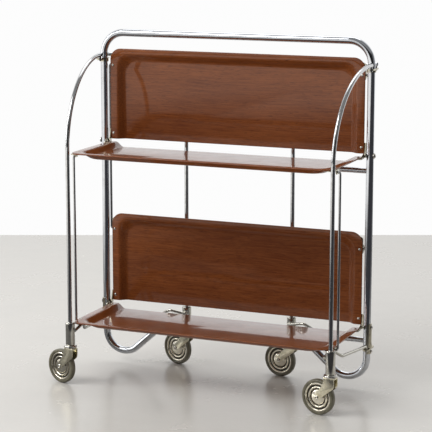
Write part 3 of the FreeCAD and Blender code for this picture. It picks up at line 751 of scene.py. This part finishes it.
# ---- castors
@dataclass
class Castor:
    """One swivel castor: stem, fork, axle, wheel centre and tyre. Sizes in millimetres.

    Outlines of turned parts are points of radius and height, unless their comment says otherwise.
    """
    finishes: Finishes
    corner: str
    leg: tuple[float, float]
    heading_deg: float
    wheel_r: float = 37.5
    trail: float = 27.5
    wheel_facets: int = 96
    tyre_half: float = 6.2
    tyre_inner: float = 30.5
    tyre_bead: Outline = ((0.0, -1.6), (0.5, -0.3), (1.7, 0.0))  # out from the inner edge, up to the side
    shoulder: float = 3.5
    shoulder_facets: int = 6
    hub_half: float = 6.4
    hub_chamfer: float = 0.6
    hub_r: float = 5.0
    axle_play: float = 0.05
    web: Outline = ((7.6, 6.1), (9.2, 5.3), (12.0, 4.9), (14.4, 4.2), (15.4, 3.2), (16.0, 1.6), (18.3, 1.4),
                    (18.8, 3.2), (19.6, 4.3), (20.6, 4.6), (21.6, 4.3), (22.4, 3.2), (22.9, 1.5),
                    (26.1, 1.3), (26.6, 3.4), (27.4, 4.6), (28.4, 5.0), (29.6, 4.7))  # hub to rim bead
    rim_half: float = 4.2
    grooves: Outline = ((15.9, 18.4), (22.8, 26.2))  # inner and outer radius
    # heights of the painted groove shade rings, out from the wheel's middle plane
    groove_shade_half: tuple[float, float] = (1.0, 1.9)
    fork_inner: float = 6.7
    fork_sheet: float = 1.8
    fork_back: float = 12.8
    fork_front: float = 11.2
    front_knee: tuple[float, float] = (3.0, 65.0)  # beyond the crown's front, and height
    back_knee_z: float = 62.0
    crown_top: float = 82.9
    crown_t: float = 3.0
    boss_r: float = 6.2
    boss_facets: int = 8
    slant_deg: float = 30.0
    back_round: float = 5.0
    back_facets: int = 5
    fold_inner: float = 0.2
    fold_facets: int = 4
    fork_edge: float = 0.35
    fork_edge_facets: int = 2
    fork_edge_deg: float = 40.0
    collar_r: float = 14.4
    collar_h: float = 6.0
    collar_z: float = 83.0
    collar_roll: Outline = ((2.6, 0.0), (1.2, 0.5), (0.3, 1.5))  # in from the rim, and from the flat
    stem_r: float = 5.5
    stem_top: float = 117.0
    stem_chamfer: tuple[float, float] = (0.6, 0.8)
    spigot_r: float = 4.0
    spigot_head_r: float = 5.9
    spigot_head: Outline = ((0.0, 0.0), (0.5, 1.6), (2.0, 2.5))  # in from the head's rim, and down
    spigot_drop: float = 0.1
    axle_r: float = 3.0
    axle_facets: int = 40
    axle_end: Outline = ((0.0, -6.0), (1.9, -6.0), (2.2, 1.3), (3.0, 1.6), (4.0, 1.2), (4.6, 0.5),
                         (4.6, 0.0), (3.0, -0.05))  # radius, and out from the fork's face

    def stand(self) -> Matrix:
        """Matrix from the castor's own frame, trailing along +X, to its place."""
        foot = Matrix.Translation((self.leg[0] * MM, self.leg[1] * MM, 0))
        return foot @ Matrix.Rotation(math.radians(self.heading_deg), 4, "Z")

    def on_axle(self) -> Matrix:
        """Matrix from a wheel piece turned about Z to its place on the axle."""
        lay = Matrix.Rotation(math.pi / 2, 4, "X")
        return self.stand() @ Matrix.Translation((self.trail * MM, 0, self.wheel_r * MM)) @ lay

    def tyre(self) -> bmesh.types.BMesh:
        """Tyre with round shoulders and a rounded bead at its inner edge, turned about Z."""
        half = [(self.tyre_inner + out, self.tyre_half + up) for out, up in self.tyre_bead]
        for step in range(self.shoulder_facets + 1):
            turn = math.pi / 2 * step / self.shoulder_facets
            half.append((self.wheel_r - self.shoulder + self.shoulder * math.sin(turn),
                         self.tyre_half - self.shoulder + self.shoulder * math.cos(turn)))
        return turned(mirrored(half), self.wheel_facets)

    def centre(self) -> bmesh.types.BMesh:
        """Wheel centre, turned about Z: rim bead, groove, raised ring, dished web and hub."""
        hub = [(self.axle_r + self.axle_play, self.hub_half - self.hub_chamfer), (self.hub_r, self.hub_half)]
        half = hub + list(self.web) + [(self.tyre_inner, self.rim_half)]
        return turned(mirrored(half), self.wheel_facets)

    def groove_shade(self) -> bmesh.types.BMesh:
        """Painted shade in the foot of each groove of the wheel centre: four thin dark rings about Z."""
        both = bmesh.new()
        for inner, outer in self.grooves:
            for side in (1, -1):
                low, high = sorted(side * height for height in self.groove_shade_half)
                section = [(inner, low), (outer, low), (outer, high), (inner, high), (inner, low)]
                join(both, turned(section, self.wheel_facets))
        return both

    def fork(self) -> bmesh.types.BMesh:
        """Fork in the castor's own frame: a crown over the wheel and a slanting arm on each side."""
        outer = self.fork_inner + self.fork_sheet
        slant = math.radians(self.slant_deg)
        down = Vector((math.cos(slant), 0, -math.sin(slant))) * self.boss_r
        square = Vector((math.sin(slant), 0, math.cos(slant))) * self.boss_r
        hub = Vector((self.trail, 0, self.wheel_r))
        outline = [Vector((-self.fork_back, 0, self.crown_top)),
                   Vector((self.fork_front, 0, self.crown_top)),
                   Vector((self.fork_front + self.front_knee[0], 0, self.front_knee[1])),
                   hub + square + down, hub - square + down, Vector((-self.fork_back, 0, self.back_knee_z))]
        bm = bmesh.new()
        for side in (-1, 1):
            inside = side * self.fork_inner
            rim = [bm.verts.new((point + Vector((0, inside, 0))) * MM) for point in outline]
            bm.faces.new(rim)
            *_, boss_top, boss_foot, back_knee = rim
            round_corners(bm, [boss_top, boss_foot], self.boss_r, self.boss_facets)
            round_corners(bm, [back_knee], self.back_round, self.back_facets)
            sheet = [face for face in bm.faces if abs(face.calc_center_median().y - inside * MM) < SAME_M]
            made = bmesh.ops.extrude_face_region(bm, geom=sheet)
            moved = [item for item in made["geom"] if isinstance(item, bmesh.types.BMVert)]
            bmesh.ops.translate(bm, verts=moved, vec=(0, side * self.fork_sheet * MM, 0))
            fold = [edge for edge in bm.edges if all(abs(vert.co.z - self.crown_top * MM) < SAME_M
                                                     and abs(vert.co.y - side * outer * MM) < SAME_M
                                                     for vert in edge.verts)]
            bmesh.ops.bevel(bm, geom=fold, offset=(self.fork_sheet - self.fold_inner) * MM,
                            offset_type="OFFSET", segments=self.fold_facets, profile=0.5, affect="EDGES",
                            clamp_overlap=True, material=-1)
        crown = Matrix.Translation(Vector(((self.fork_front - self.fork_back) / 2, 0,
                                           self.crown_top - self.crown_t / 2)) * MM)
        size = Vector((self.fork_front + self.fork_back, 2 * outer - self.fork_sheet, self.crown_t)) * MM
        bmesh.ops.create_cube(bm, size=1.0, matrix=crown @ Matrix.Diagonal((*size, 1)))
        bmesh.ops.recalc_face_normals(bm, faces=bm.faces[:])
        soften(bm, self.fork_edge, self.fork_edge_facets, self.fork_edge_deg)
        return bm

    def axle(self) -> bmesh.types.BMesh:
        """Hollow axle with a rolled head at each end, turned about Z."""
        face = self.fork_inner + self.fork_sheet
        return turned(mirrored([(radius, face + out) for radius, out in self.axle_end]), self.axle_facets)

    def stem(self) -> bmesh.types.BMesh:
        """Stem in the castor's own frame, with its rolled collar and the spigot under it."""
        low, high, radius = self.collar_z, self.collar_z + self.collar_h, self.collar_r
        head_z = self.crown_top - self.crown_t - self.spigot_drop
        narrow, down = self.stem_chamfer
        stem = [(0, self.stem_top), (self.stem_r - narrow, self.stem_top),
                (self.stem_r, self.stem_top - down), (self.stem_r, high)]
        upper = [(radius - inset, high - drop) for inset, drop in self.collar_roll]
        lower = [(radius - inset, low + rise) for inset, rise in reversed(self.collar_roll)]
        head = [(self.spigot_head_r - inset, head_z - drop) for inset, drop in self.spigot_head]
        return turned(stem + upper + [(radius, (low + high) / 2)] + lower
                      + [(self.spigot_r, low), (self.spigot_r, head_z)] + head + [(0, head[-1][1])])

    def build(self) -> None:
        """Build the castor's pieces and report."""
        look, node = self.finishes, f"{self.corner}_castor"
        gate, swivel, wheel = f"{self.corner}_gate", node, f"{node}_wheel_set"
        stand, on_axle = self.stand(), self.on_axle()
        for name, bm, place, material, body, slot, part in (
                ("collar_stem", self.stem(), stand, look.stem, gate, Slot.BRIGHT_STEM, "stem"),
                ("folded_fork", self.fork(), stand, look.fork, swivel, Slot.ZINC_FORK, "fork"),
                ("rolled_axle", self.axle(), on_axle, look.stem, swivel, Slot.BRIGHT_STEM, "axle"),
                ("wheel_centre", self.centre(), on_axle, look.centre, wheel, Slot.WHEEL_CENTRE, "wheel"),
                # painted shade: dark rings in the foot of the wheel centre's grooves
                ("painted_groove_shade", self.groove_shade(), on_axle, look.groove_shade, wheel, Slot.WHEEL_CENTRE, None),
                ("round_tyre", self.tyre(), on_axle, look.tyre, wheel, Slot.TYRE_RUBBER, "tyre")):
            finish_piece(f"{node}_{name}", bm, place, material, body,
                         (f"{node}_{part}",) if part else ())
        LOG.info("castor %s built", self.corner)


# ---- gates and links
@dataclass
class Gate:
    """One gate leg with its sleeve and stay, and its corner's link rod. Sizes in millimetres."""
    finishes: Finishes
    corner: str
    leg: tuple[float, float]
    sleeve_r: float = 10.0
    sleeve_low: float = 89.0
    sleeve_high: float = 139.6
    top_sunk: float = 0.2
    top_roll: Outline = ((2.6, 0.0), (0.9, 0.6), (0.1, 2.2), (0.0, 4.0))  # in from the side, and down
    foot_roll: Outline = ((0.0, 2.0), (0.3, 0.7), (1.0, 0.0))  # in from the side, and up
    leg_r: float = 4.5
    leg_foot: float = 121.0
    bore_r: float = 5.5
    bore_top: float = 117.0

    def sleeve(self) -> bmesh.types.BMesh:
        """Sleeve about Z with rolled-in ends, bored for the leg above and the stem below."""
        mouth = (self.leg_r, self.sleeve_high - self.top_sunk)
        top = [(self.sleeve_r - inset, self.sleeve_high - drop) for inset, drop in self.top_roll]
        foot = [(self.sleeve_r - inset, self.sleeve_low + rise) for inset, rise in self.foot_roll]
        bore = [(self.bore_r, self.sleeve_low), (self.bore_r, self.bore_top), (self.leg_r, self.leg_foot)]
        return turned([mouth] + top + foot + bore + [mouth])

    def build(self) -> None:
        """Build the sleeve, dress the bars and report."""
        foot = Matrix.Translation((self.leg[0] * MM, self.leg[1] * MM, 0))
        gate = f"{self.corner}_gate"
        finish_piece(f"{self.corner}_rolled_sleeve", self.sleeve(), foot, self.finishes.leg, gate,
                     (f"{self.corner}_leg_sleeve",))
        dress(f"{self.corner}_leg_tube", self.finishes.rod)
        dress(f"{self.corner}_leg_stay", self.finishes.leg)
        dress(f"{self.corner}_link_rod", self.finishes.rod)
        LOG.info("gate %s built", self.corner)


# ---- main frame
@dataclass
class MainFrame:
    """The bent tube, its cross tubes, pins and brackets."""
    finishes: Finishes
    tubes: tuple[str, ...] = ("frame_tube", "upper_cross_tube", "lower_cross_tube")
    fastenings: tuple[str, ...] = ("tray_hinge_pins", "hinge_pin_washers", "foot_bracket_rivets")
    brackets: tuple[str, ...] = ("gate_head_brackets", "gate_foot_brackets")

    def build(self) -> None:
        """Dress the frame's nodes and report."""
        for node in self.tubes:
            dress(node, self.finishes.tube)
        for node in self.fastenings:
            dress(node, self.finishes.rivet)
        for node in self.brackets:
            dress(node, self.finishes.sheet)
        LOG.info("main frame dressed")


# ---- studio
def aim(name: str, data: bpy.types.Camera | bpy.types.Light, place: Vector,
        toward: Vector) -> bpy.types.Object:
    """Add a camera or lamp that looks in a direction.

    Args:
        name: Its name.
        data: The camera or light.
        place: Where it stands.
        toward: The direction in which it looks.

    Returns:
        The new object.
    """
    aimed = add_object(name, data)
    aimed.location = place
    aimed.rotation_mode = "QUATERNION"
    aimed.rotation_quaternion = toward.to_track_quat("-Z", "Y")
    return aimed


@dataclass(frozen=True)
class Lamp:
    """A soft lamp: where it hangs and the size of its face, in metres, and its power in watts."""
    name: str
    place: tuple[float, float, float]
    size: tuple[float, float]
    watts: float

    def hang(self, target: Vector) -> None:
        """Add the lamp, so that it faces a place."""
        data = bpy.data.lights.new(self.name, "AREA")
        data.shape = "RECTANGLE"
        data.size, data.size_y = self.size
        data.energy = self.watts
        place = Vector(self.place)
        aim(self.name, data, place, target - place)


@dataclass(frozen=True)
class SealedFloor:
    """Pale floor with faint clouds of tone, which polished metal sees as a darker room."""
    turn_deg: float
    tone: Colour = paint(216, 213, 207)
    shade: float = 0.94
    cloud: Noise = Noise(5.0, 5.0, 0.6)
    grit: Noise = Noise(160.0, 3.0, 0.6)
    cloud_share: float = 0.75
    mottle: Ramp = Ramp(0.35, 0.65)
    roughness: Ramp = Ramp(0.3, 0.7, 0.20, 0.30)
    specular: float = 0.45
    near: Ramp = Ramp(-0.20, -0.34, 0.0, 0.80)
    ahead: Ramp = Ramp(-0.39, -0.50)
    aside: Ramp = Ramp(0.5, 1.3, 0.0, 0.7)
    far_left: Ramp = Ramp(-0.9, -2.1)
    gloom: Colour = (0.05, 0.05, 0.055, 1.0)
    glow: Colour = (1.20, 1.17, 1.12, 1.0)

    def make(self) -> bpy.types.Material:
        """Make the material."""
        material = bpy.data.materials.new("sealed_floor")
        material.use_nodes = True
        graph = Graph(material.node_tree)
        shader = material.node_tree.nodes["Principled BSDF"]
        where = graph.add("ShaderNodeTexCoord").outputs["Object"]
        cloud = graph.cloud(where, self.cloud)
        tone = graph.weighted(cloud, graph.cloud(where, self.grit), self.cloud_share)
        shaded = tuple(value * self.shade for value in self.tone[:3]) + (1.0,)
        graph.feed(shader, "Base Color", graph.blend(graph.ramp(tone, self.mottle), shaded, self.tone))
        graph.feed(shader, "Roughness", graph.ramp(cloud, self.roughness))
        graph.feed(shader, "Specular IOR Level", self.specular)
        across, along, _ = graph.axes(where, math.radians(self.turn_deg))
        hidden = graph.most(graph.ramp(across, self.near), graph.ramp(along, self.ahead),
                            graph.ramp(graph.maths("ABSOLUTE", across), self.aside))
        path = graph.add("ShaderNodeLightPath")
        seen = graph.maths("MULTIPLY", path.outputs["Is Glossy Ray"], hidden)
        colour = graph.blend(graph.ramp(across, self.far_left), self.gloom, self.glow)
        room = graph.fed("ShaderNodeEmission", {0: colour})
        graph.feed(material.node_tree.nodes["Material Output"], 0,
                   graph.either(seen, shader.outputs[0], room.outputs[0]))
        return material


@dataclass(frozen=True)
class Backdrop:
    """White backdrop for the eye, soft fill light, and a room with dark corners for polished metal."""
    turn_deg: float
    plain: Colour = (0.98, 0.98, 0.98, 1.0)
    wall: Ramp = Ramp(0.08, 0.40)
    ceiling: Ramp = Ramp(0.35, 0.50, 0.0, 0.28)
    window_side: Ramp = Ramp(-0.42, -0.55, 0.0, 0.9)
    window_foot: Ramp = Ramp(-0.02, 0.04)
    window_head: Ramp = Ramp(0.50, 0.38)
    right: Ramp = Ramp(0.62, 0.90, 0.0, 0.22)
    darkest: float = 0.02
    fill: Ramp = Ramp(0.0, 0.8, 0.12, 0.70)

    def build(self) -> None:
        """Make the world."""
        world = bpy.data.worlds.new("studio_world")
        bpy.context.scene.world = world
        world.use_nodes = True
        world.node_tree.nodes.clear()
        graph = Graph(world.node_tree)
        where = graph.add("ShaderNodeTexCoord").outputs["Generated"]
        side, depth, height = graph.axes(where, math.radians(self.turn_deg))
        low = graph.maths("MULTIPLY", graph.ramp(height, self.window_foot),
                          graph.ramp(height, self.window_head))
        window = graph.maths("MULTIPLY", graph.ramp(side, self.window_side), low)
        lit = graph.most(graph.ramp(depth, self.wall), graph.ramp(height, self.ceiling), window,
                         graph.ramp(side, self.right), self.darkest)
        mirror = graph.fed("ShaderNodeBackground", {0: graph.blend(lit, BLACK, WHITE)})
        fill = graph.fed("ShaderNodeBackground", {0: WHITE, 1: graph.ramp(height, self.fill)})
        plain = graph.fed("ShaderNodeBackground", {0: self.plain})
        path = graph.add("ShaderNodeLightPath")
        by_light = graph.either(path.outputs["Is Glossy Ray"], fill.outputs[0], mirror.outputs[0])
        by_eye = graph.either(path.outputs["Is Camera Ray"], by_light, plain.outputs[0])
        graph.fed("ShaderNodeOutputWorld", {0: by_eye})


@dataclass
class Studio:
    """Camera, pale floor, backdrop and soft lamps. Sizes in metres."""
    azimuth_deg: float = 22.88
    elevation_deg: float = 10.74
    target: Vector = field(default_factory=lambda: Vector((-0.04065, 0.0, 0.35613)))
    distance: float = 3.66571
    focal_px: float = 1675.82
    sensor_mm: float = 36.0
    floor_behind: float = 1.557
    floor_reach: float = 9.0
    lamps: tuple[Lamp, ...] = (
        Lamp("overhead_soft", (-0.3, 0.9, 2.9), (2.0, 1.6), 16.0),
        Lamp("front_soft", (-1.5, -2.0, 2.6), (1.6, 1.2), 36.0),
        Lamp("left_strip", (-2.4, -1.2, 1.3), (0.6, 1.8), 18.0))

    def camera(self) -> None:
        """Make the camera and set it as the scene's."""
        azimuth, elevation = math.radians(self.azimuth_deg), math.radians(self.elevation_deg)
        back = Vector((math.sin(azimuth) * math.cos(elevation), -math.cos(azimuth) * math.cos(elevation),
                       math.sin(elevation)))
        data = bpy.data.cameras.new("studio_camera")
        data.sensor_width = self.sensor_mm
        data.lens = self.focal_px * self.sensor_mm / IMAGE_PX
        bpy.context.scene.camera = aim("studio_camera", data, self.target + back * self.distance, -back)

    def floor(self) -> None:
        """Make the floor, which ends in a straight line behind the trolley."""
        bm = bmesh.new()
        bmesh.ops.create_grid(bm, x_segments=2, y_segments=2, size=self.floor_reach)
        turn = Matrix.Rotation(math.radians(self.azimuth_deg), 4, "Z")
        back = Matrix.Translation((0, self.floor_behind - self.floor_reach, 0))
        bm.transform(Matrix.Translation((self.target.x, self.target.y, 0)) @ turn @ back)
        floor = add_mesh("studio_floor", bm, SealedFloor(self.azimuth_deg).make())

    def build(self) -> None:
        """Set up the camera, floor, backdrop and lamps, and report."""
        self.camera()
        self.floor()
        Backdrop(self.azimuth_deg).build()
        for lamp in self.lamps:
            lamp.hang(self.target)
        bpy.context.scene.view_settings.view_transform = "Standard"
        LOG.info("studio set")


# ---- the whole trolley
@dataclass(frozen=True)
class Corner:
    """Where one gate leg stands, in millimetres, and which way its castor trails."""
    leg: tuple[float, float]
    heading_deg: float


GATE_PIVOT = Vector((312.0, 16.2))  # of the rear right gate, in millimetres
OPEN_LEG = Vector((297.0, 203.0))  # its leg, swung out
FOLD_DEG = 80.5  # how far the gate folds in from there
FOLDED_LEG = GATE_PIVOT + Matrix.Rotation(math.radians(FOLD_DEG), 2) @ (OPEN_LEG - GATE_PIVOT)
CORNERS = {  # the front legs are swung out, the rear ones folded in
    "front_left": Corner((-OPEN_LEG.x, -OPEN_LEG.y), 162.0),
    "front_right": Corner((OPEN_LEG.x, -OPEN_LEG.y), 168.0),
    "rear_left": Corner((-FOLDED_LEG.x, FOLDED_LEG.y), 162.5),
    "rear_right": Corner((FOLDED_LEG.x, FOLDED_LEG.y), 169.5),
}


def main() -> None:
    """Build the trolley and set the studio."""
    logging.basicConfig(level=logging.INFO)
    finishes = Finishes()
    MainFrame(finishes).build()
    for end in End:
        for level in Level:
            Tray(finishes, end, level).build()
    for name, corner in CORNERS.items():
        Gate(finishes, name, corner.leg).build()
        Castor(finishes, name, corner.leg, corner.heading_deg).build()
    Studio().build()


if __name__ == "__main__":
    main()
